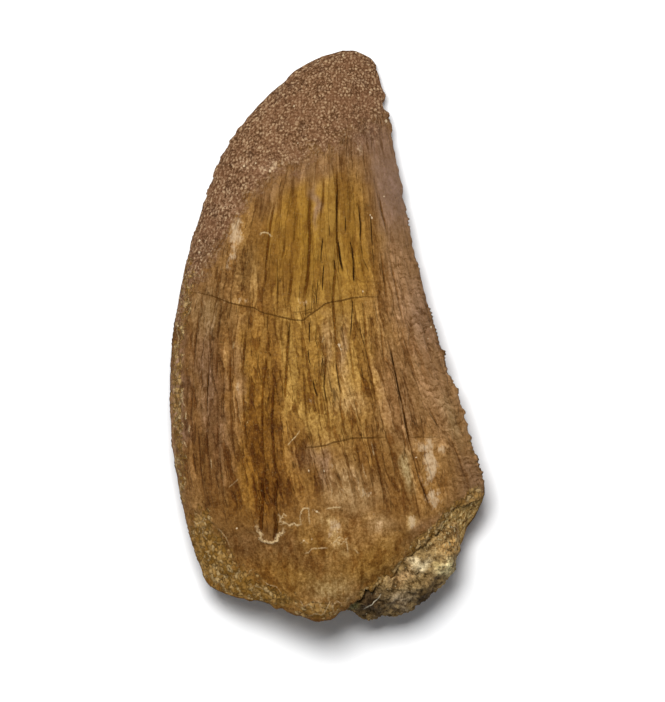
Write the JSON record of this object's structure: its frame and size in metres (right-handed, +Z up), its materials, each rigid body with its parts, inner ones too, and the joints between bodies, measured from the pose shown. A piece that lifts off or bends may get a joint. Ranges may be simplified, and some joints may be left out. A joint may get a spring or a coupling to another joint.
{
  "type": "fossil theropod tooth",
  "caption": "Fossil theropod tooth crown lying on one face: curved, serrated, with cracked enamel, a rough tip and a broken base filled with sediment.",
  "frame": {"origin": "on the surface that the tooth lies on, under the middle of its bounding box", "axes": "+Y from the broken base to the tip, +X from the convex mesial edge to the concave distal edge, +Z up out of the front face"},
  "size_m": [0.0442, 0.0801, 0.0167],
  "materials": {
    "tooth": "satin, mineralised enamel with dark cracks and a rough, granular tip",
    "matrix": "dull, crumbly sediment"
  },
  "bodies": {
    "root": {"tooth": "tooth", "matrix": "matrix"}
  },
  "joints": []
}
